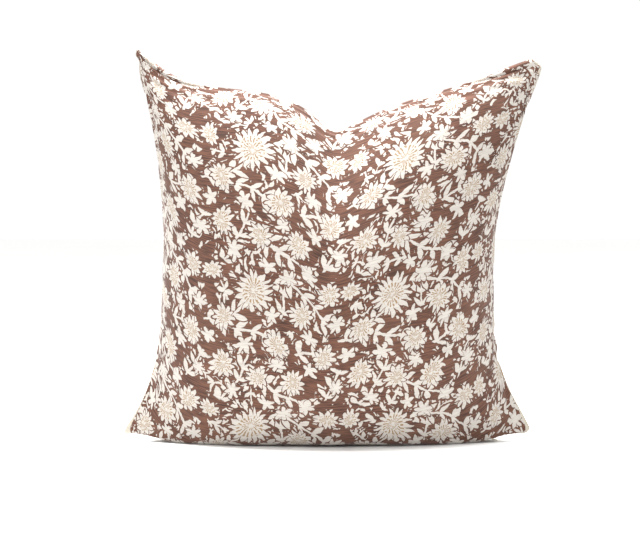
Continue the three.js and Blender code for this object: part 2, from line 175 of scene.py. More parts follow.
class CoverSettings(bpy.types.PropertyGroup):
    panel: bpy.props.FloatProperty(
        name="Panel", description="Side of each flat square panel", default=0.508, unit="LENGTH")
    cells: bpy.props.IntProperty(
        name="Cells", description="Cells along each side of a panel's grid", default=72)
    cloth: bpy.props.FloatProperty(
        name="Cloth", description="Thickness of the cover's cloth", default=0.0008, unit="LENGTH")
    seam_gap: bpy.props.FloatProperty(
        name="Seam gap", description="From the seam line to either panel", default=0.00015, unit="LENGTH")
    slit: bpy.props.FloatProperty(
        name="Slit", description="From the seam line to either folded edge of the zip opening",
        default=0.0007, unit="LENGTH")
    frames: bpy.props.IntProperty(
        name="Frames", description="Length of the cloth simulation", default=26)
    plump_frames: bpy.props.IntProperty(
        name="Plumping frames", description="Frames in which the seams move to their places", default=6)
    pressure: bpy.props.FloatProperty(
        name="Pressure", description="Push of the feathers on the cloth", default=5.0)
    shrink: bpy.props.FloatProperty(
        name="Shrink", description="How much smaller than its cut size the cloth pulls itself", default=0.04)


class InsertSettings(bpy.types.PropertyGroup):
    shell_scale: bpy.props.FloatProperty(
        name="Shell scale", description="Size of the insert against the cover", default=0.955)
    fill_scale: bpy.props.FloatProperty(
        name="Fill scale", description="Size of the filling against the cover", default=0.944)
    seam_scale: bpy.props.FloatProperty(
        name="Seam scale", description="Size of the cover's row of stitches against the cover", default=0.985)
    insert_seam_scale: bpy.props.FloatProperty(
        name="Insert seam scale", description="Size of the insert's row of stitches against the cover",
        default=0.945)
    ear_draw: bpy.props.FloatProperty(
        name="Ear draw", description="How much more the insert's corners shrink, to stay out of the ears",
        default=0.072)
    centre_height: bpy.props.FloatProperty(
        name="Centre height", description="Height of the point that the nested pieces shrink towards",
        default=0.2, unit="LENGTH")
    cloth: bpy.props.FloatProperty(
        name="Cloth", description="Thickness of the insert's cloth", default=0.0005, unit="LENGTH")
    label: bpy.props.FloatProperty(
        name="Label", description="Thickness of the label tape", default=0.0003, unit="LENGTH")


class ZipSettings(bpy.types.PropertyGroup):
    pitch: bpy.props.FloatProperty(
        name="Pitch", description="Length of one turn of the coil", default=0.0015, unit="LENGTH")
    wire: bpy.props.FloatProperty(
        name="Wire", description="Radius of the coil's filament", default=0.00026, unit="LENGTH")
    facets: bpy.props.IntProperty(
        name="Facets", description="Points along each turn of the coil", default=12)
    thread: bpy.props.FloatProperty(
        name="Thread", description="Radius of the sewing thread", default=0.00022, unit="LENGTH")
    stitch: bpy.props.FloatProperty(
        name="Stitch", description="Length of one stitch and the gap after it", default=0.003, unit="LENGTH")


class StageSettings(bpy.types.PropertyGroup):
    lens: bpy.props.FloatProperty(
        name="Lens", description="Focal length in mm", default=85.0)
    distance: bpy.props.FloatProperty(
        name="Distance", description="From the camera to the pillow's middle", default=1.86, unit="LENGTH")
    elevation: bpy.props.FloatProperty(
        name="Elevation", description="Camera height as an angle", default=math.radians(3.5),
        subtype="ANGLE")
    aim: bpy.props.FloatVectorProperty(
        name="Aim", description="Point that the camera looks at", default=(-0.0137, 0.0, 0.204),
        subtype="XYZ")
    floor: bpy.props.FloatProperty(
        name="Floor", description="Side of the floor", default=14.0, unit="LENGTH")
    floor_gap: bpy.props.FloatProperty(
        name="Floor gap", description="From the floor up to the pillow's underside", default=0.0003,
        unit="LENGTH")
    room_light: bpy.props.FloatProperty(
        name="Room light", description="Brightness of the white room", default=1.04)


# ---- the plumped shape

def lerp(a, b, share):
    """The value that lies a share of the way from a to b."""
    return a + (b - a) * share


def pull_in(s, late_start, late_end):
    """1 in the middle of a side, falling to 0 at its ends."""
    return 1 - np.abs(s) ** np.where(s < 0, late_start, late_end)


def ear(name):
    """Where the tip of an ear is: x and height."""
    return EARS[name][0] * WIDTH, EARS[name][1] * HEIGHT


def upright_side(name, t):
    """The left or the right seam, from the bottom up."""
    low, high = ear(f"bottom_{name}"), ear(f"top_{name}")
    late = EAR_LATENESS[f"{name}_bottom"], EAR_LATENESS[f"{name}_top"]
    bow = WAIST[name] * WIDTH - (low[0] + high[0]) / 2
    share = (t + 1) / 2
    return lerp(low[0], high[0], share) + bow * pull_in(t, *late), lerp(low[1], high[1], share)


def level_side(start, end, middle_height, late_left, late_right, s):
    """The top or the bottom seam, from the left, before the chop."""
    share = (s + 1) / 2
    fall = middle_height - (start[1] + end[1]) / 2
    sag = fall * pull_in(s, late_left, late_right)
    return lerp(start[0], end[0], share), lerp(start[1], end[1], share) + sag


def chop_at(x):
    """How deep the dent is at x, as a share of its depth."""
    reach = np.where(x < CHOP_X, CHOP_REACH["left"], CHOP_REACH["right"])
    return np.exp(-(np.hypot(x - CHOP_X, CHOP_ROUNDING) - CHOP_ROUNDING) / reach)


def top_side(s):
    middle = ((EARS["top_left"][1] + EARS["top_right"][1]) / 2 - TOP_SAG) * HEIGHT
    late = EAR_LATENESS
    x, z = level_side(ear("top_left"), ear("top_right"), middle, late["top_left"], late["top_right"], s)
    return x, z - CHOP_DEPTH * chop_at(x) * pull_in(s, 2, 2)


def bottom_side(s):
    return level_side(ear("bottom_left"), ear("bottom_right"), -BOTTOM_SINK * HEIGHT,
                      EAR_LATENESS["bottom"], EAR_LATENESS["bottom"], s)


def between_sides(s, t):
    """A point between the four sides of the seam: a Coons patch."""
    across = (s + 1) / 2
    up = (t + 1) / 2
    sides = upright_side("left", t), upright_side("right", t), bottom_side(s), top_side(s)
    point = []
    for axis in (0, 1):
        left, right, bottom, top = (side[axis] for side in sides)
        low = lerp(ear("bottom_left")[axis], ear("bottom_right")[axis], across)
        high = lerp(ear("top_left")[axis], ear("top_right")[axis], across)
        point.append(lerp(left, right, across) + lerp(bottom, top, up) - lerp(low, high, up))
    return point


def ground_under(s, depth):
    """Height that the underside rests at: arched in the middle, and folded up to the zipped seam."""
    arch = ARCH_LIFT * np.clip(1 - (s / ARCH_REACH) ** 2, 0, 1)
    return arch + (ZIP_SEAM_HEIGHT - arch) * np.clip(1 - depth / VALLEY_HALF_WIDTH, 0, 1)


def turn_at(u):
    """How far round the curve from front to seam a point of the flat panel lies: evenly by length."""
    return math.pi / 2 * u * lerp(EVENNESS, 1, u ** 2)


def plumped(u, v, side):
    """The plumped cover at a point of the flat panel, u and v from -1 to 1, and whether it is grounded."""
    s = lerp(np.sin(turn_at(u)), u, np.abs(v) ** SEAM_EVENING)
    t = lerp(np.sin(turn_at(v)), v, np.abs(u) ** SEAM_EVENING)
    blunt = np.where(v < 0, EAR_BLUNTNESS["bottom"], EAR_BLUNTNESS["top"]) * np.abs(u * v) ** EAR_ROUNDNESS
    s = s * (1 - blunt)
    t = t * (1 - blunt)
    x, z = between_sides(s, t)
    swell = np.maximum(0, np.cos(turn_at(u)) * np.cos(turn_at(v)))
    beside = (x - CHOP_X) / CHOP_SQUEEZE_SIZE[0]
    below = (top_side(s)[1] - z) / CHOP_SQUEEZE_SIZE[1]
    squeeze = 1 - CHOP_SQUEEZE * np.exp(-below ** 2 - beside ** 2)
    half_depth = (CAD_BOX[1][1] - CAD_BOX[0][1]) / 2 / MM
    depth = half_depth * swell ** EDGE_FULLNESS * (1 - BELLY * t) * squeeze
    ground = ground_under(s, depth)
    grounded = (v < 0) & (z <= ground)
    points = np.stack([x, side * depth, np.where(grounded, ground, z)], axis=-1) * MM
    return points, grounded


# ---- mesh helpers

def cloth_grid(cells):
    """u and v, from -1 to 1, at every crossing of a flat panel's grid: rows from the bottom up."""
    line = np.linspace(-1, 1, cells + 1)
    return np.meshgrid(line, line)


def sewn_numbers(cells):
    """Vertex numbers of the front and back grids of one closed cover, whose seam they share."""
    count = cells + 1
    front = np.arange(count * count).reshape(count, count)
    back = front.copy()
    back[1:-1, 1:-1] = front[-1, -1] + 1 + np.arange((cells - 1) ** 2).reshape(cells - 1, cells - 1)
    return front, back


def grid_faces(numbers, side):
    """The quads of a grid, facing away from the pillow's middle."""
    corners = [numbers[:-1, :-1], numbers[:-1, 1:], numbers[1:, 1:], numbers[1:, :-1]]
    if side == BACK:
        corners.reverse()
    return np.stack([corner.ravel() for corner in corners], axis=-1).tolist()


def sewn_points(front_points, back_points):
    """The vertices of a closed cover, in the order that sewn_numbers gives them."""
    return np.concatenate([front_points.reshape(-1, 3), back_points[1:-1, 1:-1].reshape(-1, 3)])


def new_object(name, points, faces):
    mesh = bpy.data.meshes.new(name)
    mesh.from_pydata(np.asarray(points).tolist(), [], faces)
    piece = bpy.data.objects.new(name, mesh)
    bpy.context.scene.collection.objects.link(piece)
    return piece


def select_only(piece):
    bpy.ops.object.select_all(action="DESELECT")
    piece.select_set(True)
    bpy.context.view_layer.objects.active = piece


def add_modifier(piece, kind, **settings):
    modifier = piece.modifiers.new(kind.title(), kind)
    for name, value in settings.items():
        setattr(modifier, name, value)
    return modifier


def apply_modifiers(piece):
    """The piece's modifiers become its mesh."""
    select_only(piece)
    bpy.ops.object.convert(target="MESH")
    bpy.ops.object.shade_smooth()


def add_cloth_uv(mesh, u, v, side_length):
    """A UV map in millimetres of the flat panel, for patterns that follow the cloth."""
    flat = np.stack([u + 1, v + 1], axis=-1).reshape(-1, 2) * side_length / 2 / MM
    corner_vertices = np.empty(len(mesh.loops), dtype=np.int32)
    mesh.loops.foreach_get("vertex_index", corner_vertices)
    layer = mesh.uv_layers.new(name="cloth")
    layer.data.foreach_set("uv", flat[corner_vertices].astype(np.float32).ravel())


def make_sheet(name, points, side, thickness, side_length, coordinates, smooth=1):
    """A cloth sheet through a grid of points: its outer face lies on them, its thickness is inside."""
    rows, columns = points.shape[:2]
    numbers = np.arange(rows * columns).reshape(rows, columns)
    piece = new_object(name, points.reshape(-1, 3), grid_faces(numbers, side))
    add_cloth_uv(piece.data, *coordinates, side_length)
    if smooth:
        add_modifier(piece, "SUBSURF", levels=smooth, render_levels=smooth,
                     boundary_smooth="PRESERVE_CORNERS")
    add_modifier(piece, "SOLIDIFY", thickness=thickness, offset=-1)
    apply_modifiers(piece)
    return piece


def make_strands(name, strands, radius):
    """One mesh of six-sided threads, each along its own list of points."""
    curve = bpy.data.curves.new(name, "CURVE")
    curve.dimensions = "3D"
    curve.bevel_depth = radius
    curve.bevel_resolution = 1
    curve.use_fill_caps = True
    for strand in strands:
        spline = curve.splines.new("POLY")
        spline.points.add(len(strand) - 1)
        spline.points.foreach_set("co", np.column_stack([strand, np.ones(len(strand))]).ravel())
    piece = bpy.data.objects.new(name, curve)
    bpy.context.scene.collection.objects.link(piece)
    apply_modifiers(piece)
    return piece


def hand_over(piece, material, body, replaced):
    """Gives a finished piece its material and the body it moves with, and hides the CAD node it stands for.
    """
    piece.data.materials.clear()
    piece.data.materials.append(material)
    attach(piece, body)
    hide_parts(replaced)


# ---- the cloth simulation

def pin_weights(u, v, points, grounded):
    """How firmly each grid point is held to the plumped shape: 0 is free and 1 is fixed."""
    hold_seam, hold_face, hold_chop = 0.8, 0.7, 1.0
    chop_half_width, chop_rows = 26, 0.3
    weights = np.full(u.shape, hold_face)
    on_seam = (np.abs(u) >= 1) | (np.abs(v) >= 1)
    weights[on_seam] = hold_seam
    beside = np.exp(-((points[..., 0] / MM - CHOP_X) / chop_half_width) ** 2)
    below = np.clip(1 - (1 - v) / chop_rows, 0, 1)
    weights = np.maximum(weights, hold_chop * beside * below)
    weights[(np.abs(u) >= 1) & (np.abs(v) >= 1)] = 1
    weights[grounded | (v <= -1)] = 1
    return weights


def set_up_cloth(piece, pins, settings):
    """A light woven cloth, pushed out by the feathers and held by its pins."""
    cloth = piece.modifiers.new("Cloth", "CLOTH")
    cloth.settings.quality = 5
    cloth.settings.mass = 0.001
    cloth.settings.tension_stiffness = 25
    cloth.settings.compression_stiffness = 25
    cloth.settings.shear_stiffness = 8
    cloth.settings.bending_stiffness = 0.05
    cloth.settings.shrink_min = settings.shrink
    cloth.settings.air_damping = 2
    cloth.settings.use_pressure = True
    cloth.settings.uniform_pressure_force = settings.pressure
    cloth.settings.vertex_group_mass = pins.name
    cloth.settings.pin_stiffness = 10
    cloth.settings.effector_weights.gravity = 0
    cloth.collision_settings.use_collision = False
    cloth.collision_settings.use_self_collision = False
    cloth.point_cache.frame_end = settings.frames


def simulated_panels(settings):
    """Grids of points of the front and back panels, after the cover is sewn, filled and chopped."""
    u, v = cloth_grid(settings.cells)
    front_start, grounded = plumped(u, v, FRONT)
    back_start, _ = plumped(u, v, BACK)
    front, back = sewn_numbers(settings.cells)
    half = settings.panel / 2
    parting = 0.0005
    flat_gap = np.where((np.abs(u) < 1) & (np.abs(v) < 1), parting, 0)
    flat_height = HEIGHT * MM / 2
    flat_front = np.stack([u * half, -flat_gap, v * half + flat_height], axis=-1)
    flat_back = flat_front * (1, -1, 1)

    cover = new_object("cover_to_simulate", sewn_points(flat_front, flat_back),
                       grid_faces(front, FRONT) + grid_faces(back, BACK))
    cover.shape_key_add(name="flat")
    plump = cover.shape_key_add(name="plumped")
    plump.data.foreach_set("co", sewn_points(front_start, back_start).astype(np.float32).ravel())
    plump.value = 0
    plump.keyframe_insert("value", frame=1)
    plump.value = 1
    plump.keyframe_insert("value", frame=settings.plump_frames)

    weights = pin_weights(u, v, front_start, grounded)
    pins = cover.vertex_groups.new(name="pins")
    for numbers in (front, back):
        for number, weight in zip(numbers.ravel().tolist(), weights.ravel().tolist()):
            pins.add([number], weight, "REPLACE")
    set_up_cloth(cover, pins, settings)

    scene = bpy.context.scene
    for number in range(1, settings.frames + 1):
        scene.frame_set(number)
    evaluated = cover.evaluated_get(bpy.context.evaluated_depsgraph_get())
    points = np.empty(len(cover.data.vertices) * 3, dtype=np.float32)
    evaluated.data.vertices.foreach_get("co", points)
    points = points.reshape(-1, 3).astype(float)
    action = cover.data.shape_keys.animation_data.action
    bpy.data.objects.remove(cover)
    bpy.data.actions.remove(action)
    scene.frame_set(1)
    front_points = around_zip(as_deep_as_cad(points[front]), v, FRONT)
    back_points = around_zip(as_deep_as_cad(points[back]), v, BACK)
    return front_points, back_points, u, v


def as_deep_as_cad(points):
    """The points, drawn out to the CAD solid's depth and kept above the ground."""
    drawn_out = points.copy()
    drawn_out[..., 1] *= CAD_BOX[1][1] / np.abs(points[..., 1]).max()
    drawn_out[..., 2] = np.maximum(points[..., 2], 0)
    return drawn_out


def around_zip(points, v, side, fold=-0.95, clearance=0.0012, taper=0.45, height=0.02):
    """The panel's lowest points, from the fold up, pushed out to clear the corners of the zip's tape."""
    tape_low, tape_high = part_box("zipper_tape_front")
    x, y, z = np.moveaxis(points, -1, 0)
    past_end = np.maximum(np.maximum(tape_low[0] - x, x - tape_high[0]), 0)
    least = clearance - tape_low[1] - past_end * taper
    cleared = points.copy()
    cleared[..., 1] = np.where((v > fold) & (z < height), side * np.maximum(side * y, least), y)
    return cleared


def parted_at_seam(points, u, v, side, settings):
    """One panel's own points: its edge stands back from the seam line, further along the zip."""
    parted = points.copy()
    zip_low, zip_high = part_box("zipper_tape_front")
    on_seam = (np.abs(u) >= 1) | (np.abs(v) >= 1)
    along_zip = (v <= -1) & (points[..., 0] > zip_low[0]) & (points[..., 0] < zip_high[0])
    gap = np.where(along_zip, settings.slit, settings.seam_gap)
    least = side * gap
    outward = np.maximum(side * points[..., 1], gap)
    parted[..., 1] = np.where(on_seam, points[..., 1] + least, side * outward)
    return parted


def nested(points, scale, settings):
    """The same shape, shrunk towards the pillow's middle."""
    centre = np.array([0, 0, settings.centre_height])
    return centre + (points - centre) * np.asarray(scale)[..., None]


def out_of_ears(scale, u, v, settings):
    """The scale at each grid point of a piece whose corners stay out of the cover's ears."""
    sharpness = 6
    return scale - settings.ear_draw * np.abs(u * v) ** sharpness


def seam_loop(points):
    """The seam's points, from the bottom's middle round the left side, the top and the right side."""
    middle = points.shape[1] // 2
    return np.concatenate([
        points[0, middle:0:-1], points[:-1, 0], points[-1, :-1], points[:0:-1, -1], points[0, :middle:-1],
    ])


def stitches_along(path, length):
    """Straight stitches, evenly spaced along a path of points."""
    steps = np.linalg.norm(np.diff(path, axis=0), axis=1)
    reach = np.concatenate([[0], np.cumsum(steps)])
    starts = np.arange(0, reach[-1] - length, length)
    stitch_share = 0.72
    strands = []
    for start in starts:
        marks = np.linspace(start, start + length * stitch_share, 3)
        strands.append(np.column_stack([np.interp(marks, reach, path[:, axis]) for axis in range(3)]))
    return strands


# ---- shader nodes

def linear(hex_colour):
    """A hex sRGB colour as Blender's linear RGBA."""
    def channel(value):
        value /= 255
        return value / 12.92 if value <= 0.04045 else ((value + 0.055) / 1.055) ** 2.4
    digits = hex_colour.lstrip("#")
    return tuple(channel(int(digits[start:start + 2], 16)) for start in (0, 2, 4)) + (1.0,)


def add(tree, kind, inputs=(), output=0, **settings):
    """Adds one shader node with its settings and links, and returns one of its outputs."""
    node = tree.nodes.new("ShaderNode" + kind)
    for name, value in settings.items():
        setattr(node, name, value)
    for socket, value in inputs.items() if isinstance(inputs, dict) else enumerate(inputs):
        if isinstance(value, bpy.types.NodeSocket):
            tree.links.new(value, node.inputs[socket])
        else:
            node.inputs[socket].default_value = value
    return node.outputs[output] if node.outputs else None


def new_material(name):
    """An empty material and its node tree."""
    material = bpy.data.materials.new(name)
    material.use_nodes = True
    material.node_tree.nodes.clear()
    return material, material.node_tree


def finish_material(tree, inputs):
    """Puts the main shader and the output on a material."""
    add(tree, "OutputMaterial", [add(tree, "BsdfPrincipled", inputs)])


# ---- the print

def seen_from(tree, point, centre, turn, scale, tag=0.0):
    """The point as seen from a motif: moved by whole repeats, then turned and scaled. tag goes out as z."""
    low = (centre[0] - REPEAT[0] / 2, centre[1] - REPEAT[1] / 2, -1.0)
    high = (centre[0] + REPEAT[0] / 2, centre[1] + REPEAT[1] / 2, 1.0)
    return add(tree, "Mapping", {
        "Vector": add(tree, "VectorMath", (point, high, low), operation="WRAP"),
        "Location": (centre[0], centre[1], -tag),
        "Rotation": (0, 0, math.radians(turn)),
        "Scale": (scale, scale, 1.0),
    }, vector_type="TEXTURE")


def nearest_motif(tree, point, motifs):
    """The point as seen from its nearest motif, in motif radii with the petal count as z, and its reach."""
    nearest = least = None
    for x, y, radius, turn, petals in motifs:
        here = seen_from(tree, point, (x, y), turn, radius, petals)
        flat = add(tree, "VectorMath", (here, (1, 1, 0)), operation="MULTIPLY")
        reach = add(tree, "VectorMath", [flat], "Value", operation="LENGTH")
        if nearest is None:
            nearest, least = here, reach
            continue
        nearer = add(tree, "Math", (reach, least), operation="LESS_THAN")
        nearest = add(tree, "Mix", {0: nearer, 4: nearest, 5: here}, 1, data_type="VECTOR")
        least = add(tree, "Math", (reach, least), operation="MINIMUM")
    return nearest, least


def petal_outline(tree, here, reach, depth, wobble):
    """How far the point is out towards the petals' rim, below 1 inside, and its angle round the heart."""
    x, y, petals = add(tree, "SeparateXYZ", [here]).node.outputs
    angle = add(tree, "Math", (y, x), operation="ARCTAN2")
    per_turn = add(tree, "Math", (petals, 1 / (2 * math.pi)), operation="MULTIPLY")
    turns = add(tree, "Math", (angle, per_turn, wobble), operation="MULTIPLY_ADD")
    saw = add(tree, "Math", (turns, 0.5), operation="PINGPONG")
    doubled = add(tree, "Math", (saw, 2.0), operation="MULTIPLY")
    notch = add(tree, "Math", (doubled, NOTCH_POWER), operation="POWER")
    rim = add(tree, "Math", (notch, -depth, 1.0), operation="MULTIPLY_ADD")
    return add(tree, "Math", (reach, rim), operation="DIVIDE"), angle


def blade(tree, along, across):
    """A pointed leaf: below 1 inside."""
    width = add(tree, "Math", [across], operation="ABSOLUTE")
    return add(tree, "Math", (along, along, width), operation="MULTIPLY_ADD")


def seen_from_cell(tree, point, cell, shift):
    """The point as seen from the middle of its cell of the cloth, at a chance angle."""
    shifted = add(tree, "VectorMath", (point, shift), operation="ADD")
    inputs = {"Vector": shifted, "Scale": 1 / cell, "Randomness": 0.7}
    cells = add(tree, "TexVoronoi", inputs, voronoi_dimensions="2D").node.outputs
    chance = add(tree, "SeparateXYZ", [cells["Color"]])
    angle = add(tree, "Math", (chance, 2 * math.pi), operation="MULTIPLY")
    away = add(tree, "VectorMath", (shifted, cells["Position"]), operation="SUBTRACT")
    return add(tree, "VectorRotate", {"Vector": away, "Angle": angle}, rotation_type="Z_AXIS")


def curled_leaf(tree, here, length, width):
    """One curved leaf: below 1 inside."""
    sized = add(tree, "VectorMath", (here, (length / 2, width / 2, 1)), operation="DIVIDE")
    along, across, _ = add(tree, "SeparateXYZ", [sized]).node.outputs
    curl = add(tree, "Math", (along, along), operation="MULTIPLY")
    bent = add(tree, "Math", (curl, length / width / 2, across), operation="MULTIPLY_ADD")
    return blade(tree, along, bent)


def sprig(tree, here, length, bend, spacing, leaf, width, slant, stem):
    """A curved stem with pairs of leaves: below 1 inside."""
    along, across, _ = add(tree, "SeparateXYZ", [here]).node.outputs
    squared = add(tree, "Math", (along, along), operation="MULTIPLY")
    straight = add(tree, "Math", (squared, -bend, across), operation="MULTIPLY_ADD")
    side = add(tree, "Math", [straight], operation="ABSOLUTE")
    pair = add(tree, "Math", (along, spacing / 2, -spacing / 2), operation="WRAP")
    slant = math.radians(slant)
    in_leaf = add(tree, "Mapping", {
        "Vector": add(tree, "CombineXYZ", (pair, side)),
        "Location": (leaf / 2 * math.cos(slant) - spacing / 4, leaf / 2 * math.sin(slant), 0),
        "Rotation": (0, 0, slant),
        "Scale": (leaf / 2, width / 2, 1),
    }, vector_type="TEXTURE")
    leaf_along, leaf_across, _ = add(tree, "SeparateXYZ", [in_leaf]).node.outputs
    stalk = add(tree, "Math", (side, stem), operation="DIVIDE")
    drawn = add(tree, "Math", (blade(tree, leaf_along, leaf_across), stalk), operation="MINIMUM")
    middle_out = add(tree, "Math", [along], operation="ABSOLUTE")
    end = add(tree, "Math", (middle_out, length / 2), operation="DIVIDE")
    return add(tree, "Math", (drawn, end), operation="MAXIMUM")


def hand_cut(tree, cloth):
    """The cloth position, pushed about so that straight lines bend and edges look cut by hand."""
    point = add(tree, "VectorMath", (cloth, (*PRINT_OFFSET, 0)), operation="ADD")
    for size, detail, reach in HAND_CUT:
        inputs = {"Vector": cloth, "Scale": 1 / size, "Detail": detail}
        push = add(tree, "TexNoise", inputs, "Color", noise_dimensions="2D")
        centred = add(tree, "VectorMath", (push, (0.5, 0.5, 0.5)), operation="SUBTRACT")
        point = add(tree, "VectorMath", (centred, (reach, reach, 0), point), operation="MULTIPLY_ADD")
    return point


def printed_ink(tree, cloth):
    """Where the off-white ink lies, and where the tan stamens are drawn on it."""
    point = hand_cut(tree, cloth)
    inputs = {"Vector": cloth, "Scale": 1 / 9, "Detail": 0}
    uneven = add(tree, "TexNoise", inputs, noise_dimensions="2D")
    wobble = add(tree, "Math", (uneven, PETAL_WOBBLE), operation="MULTIPLY")
    bloom_here, bloom_reach = nearest_motif(tree, point, BLOOMS)
    bloom, angle = petal_outline(tree, bloom_here, bloom_reach, BLOOM_NOTCH, wobble)
    star, _ = petal_outline(tree, *nearest_motif(tree, point, STARS), STAR_NOTCH, wobble)
    flowers = add(tree, "Math", (bloom, star), operation="MINIMUM")
    drawn = add(tree, "Math", (flowers, FLOWER_STEEPNESS, 1 - FLOWER_STEEPNESS), operation="MULTIPLY_ADD")
    leaves = [
        (SPRIG_CLEARANCE, sprig(tree, seen_from(tree, point, centre, turn, 1), *parts))
        for centre, turn, *parts in SPRIGS
    ]
    leaves += [
        (LEAF_CLEARANCE, kind(tree, seen_from_cell(tree, point, cell, shift), *parts))
        for kind, loose in ((sprig, LOOSE_SPRIGS), (curled_leaf, LOOSE_LEAVES))
        for cell, shift, *parts in loose
    ]
    for clearance, leaf in leaves:
        too_near = add(tree, "Math", (2 + clearance, drawn), operation="SUBTRACT")
        clear = add(tree, "Math", (leaf, too_near), operation="MAXIMUM")
        drawn = add(tree, "Math", (drawn, clear), operation="MINIMUM")
    ink = add(tree, "MapRange", (drawn, 1 + INK_EDGE, 1 - INK_EDGE))

    strokes = add(tree, "Math", (angle, STAMENS / (2 * math.pi)), operation="MULTIPLY")
    off_stroke = add(tree, "Math", (strokes, 0.5), operation="PINGPONG")
    stamens = add(tree, "Math", (off_stroke, STAMEN_WIDTH), operation="LESS_THAN")
    inputs = {"Vector": cloth, "Scale": 1 / 2.6, "Detail": 0}
    broken = add(tree, "TexNoise", inputs, noise_dimensions="2D")
    for value, limit, operation in ((bloom_reach, STAMEN_RING[1], "LESS_THAN"),
                                    (bloom_reach, STAMEN_RING[0], "GREATER_THAN"),
                                    (broken, STAMEN_BREAKS, "GREATER_THAN")):
        there = add(tree, "Math", (value, limit), operation=operation)
        stamens = add(tree, "Math", (stamens, there), operation="MULTIPLY")
    return ink, stamens


def slub(tree, cloth):
    """Thick and thin yarns: long level streaks, and their relief with the fine weave between them."""
    stretched = add(tree, "VectorMath", (cloth, (SLUB_PITCH / SLUB_LENGTH, 1, 0)), operation="MULTIPLY")
    inputs = {"Vector": stretched, "Scale": 1 / SLUB_PITCH, "Detail": 2}
    streaks = add(tree, "TexNoise", inputs, noise_dimensions="2D")
    inputs = {"Vector": cloth, "Scale": 1 / THREAD_PITCH, "Detail": 1}
    weave = add(tree, "TexNoise", inputs, noise_dimensions="2D")
    relief = add(tree, "Math", (weave, 0.25, streaks), operation="MULTIPLY_ADD")
    return streaks, relief


def printed_cotton():
    """Slub cotton, block printed: reads as dense off-white flowers on a streaky cinnamon ground."""
    material, tree = new_material("slub_cotton_block_printed")
    cloth = add(tree, "UVMap", uv_map="cloth")
    ink, stamens = printed_ink(tree, cloth)
    streaks, relief = slub(tree, cloth)
    thread = add(tree, "MapRange", (streaks, 0.36, 0.62))
    ground = add(tree, "Mix", {0: thread, 6: linear("#3b2922"), 7: linear("#624134")}, 2, data_type="RGBA")
    inputs = {"Vector": cloth, "Scale": 1 / 45, "Detail": 1}
    fading = add(tree, "MapRange", (add(tree, "TexNoise", inputs, noise_dimensions="2D"), 0.3, 0.7, 0, 0.25))
    ground = add(tree, "Mix", {0: fading, 6: ground, 7: linear("#725243")}, 2, data_type="RGBA")
    thread = add(tree, "MapRange", (streaks, 0.3, 0.62))
    white = add(tree, "Mix", {0: thread, 6: linear("#a59e97"), 7: linear("#b4afa8")}, 2, data_type="RGBA")
    dabbed = add(tree, "Math", (stamens, 0.85), operation="MULTIPLY")
    white = add(tree, "Mix", {0: dabbed, 6: white, 7: linear("#7d613c")}, 2, data_type="RGBA")
    finish_material(tree, {
        "Base Color": add(tree, "Mix", {0: ink, 6: ground, 7: white}, 2, data_type="RGBA"),
        "Roughness": 0.93,
        "Specular IOR Level": 0.25,
        "Sheen Weight": 0.15,
        "Normal": add(tree, "Bump", {"Height": relief, "Strength": 0.25, "Distance": 0.0006}),
    })
    return material


def plain_cloth(name, light, dark, streakiness):
    """Undyed woven cloth: matt off-white with the same thick and thin yarns, and no print."""
    material, tree = new_material(name)
    streaks, relief = slub(tree, add(tree, "UVMap", uv_map="cloth"))
    share = add(tree, "MapRange", (streaks, 0.3, 0.65, 0, streakiness))
    finish_material(tree, {
        "Base Color": add(tree, "Mix", {0: share, 6: linear(light), 7: linear(dark)}, 2, data_type="RGBA"),
        "Roughness": 0.93,
        "Specular IOR Level": 0.25,
        "Sheen Weight": 0.05,
        "Normal": add(tree, "Bump", {"Height": relief, "Strength": 0.3, "Distance": 0.0005}),
    })
    return material


def grained(name, pattern, inputs, light, dark, relief, finish, gloss=None, **settings):
    """A material whose pattern, in metres, gives its colour, its relief and any gloss range."""
    material, tree = new_material(name)
    place = add(tree, "TexCoord", output="Object")
    height = add(tree, pattern, {"Vector": place, **inputs}, "Fac", **settings)
    if gloss:
        finish = finish | {"Roughness": add(tree, "MapRange", (height, 0.3, 0.7, *gloss))}
    finish_material(tree, finish | {
        "Base Color": add(tree, "Mix", {0: height, 6: linear(dark), 7: linear(light)}, 2, data_type="RGBA"),
        "Normal": add(tree, "Bump", {"Height": height, "Strength": 0.5, "Distance": relief}),
    })
    return material


def feathers():
    """Loose feather and down: soft matt tufts of about 14 mm."""
    return grained("feather_and_down", "TexNoise", {"Scale": 1 / 0.014, "Detail": 4},
                   "#faf8f3", "#e3ddd0", 0.004, {"Roughness": 1.0, "Sheen Weight": 0.3})


def twill_tape():
    """Woven polyester tape: matt, with fine slanting ribs half a millimetre apart."""
    return grained("woven_zip_tape", "TexWave", {"Scale": WAVE_BAND / 0.0005, "Distortion": 0.4},
                   "#eee7d8", "#d3c9b3", 0.0002, {"Roughness": 0.85}, bands_direction="DIAGONAL")


def moulded_nylon():
    """Natural nylon, drawn and heat set: half glossy and slightly milky, uneven over 3 mm."""
    return grained("drawn_nylon", "TexNoise", {"Scale": 1 / 0.003, "Detail": 2},
                   "#efe8da", "#d9cfba", 0.00005, {"Subsurface Weight": 0.1, "Subsurface Scale": 0.001},
                   gloss=(0.35, 0.5))


def enamelled_zinc():
    """Die-cast zinc under baked enamel: satin gloss with faint orange peel of half a millimetre."""
    return grained("enamelled_zinc", "TexNoise", {"Scale": 1 / 0.0005, "Detail": 2},
                   "#ddd3bf", "#cfc4ae", 0.00004, {"Coat Weight": 0.3, "Coat Roughness": 0.25},
                   gloss=(0.28, 0.42))


def spun_thread():
    """Spun polyester sewing thread: a slight lustre, and a tight twist of 0.3 mm."""
    return grained("spun_polyester_thread", "TexWave", {"Scale": WAVE_BAND / 0.0003, "Distortion": 0.2},
                   "#e8dfcd", "#c9bca4", 0.0001, {"Roughness": 0.7}, bands_direction="DIAGONAL")


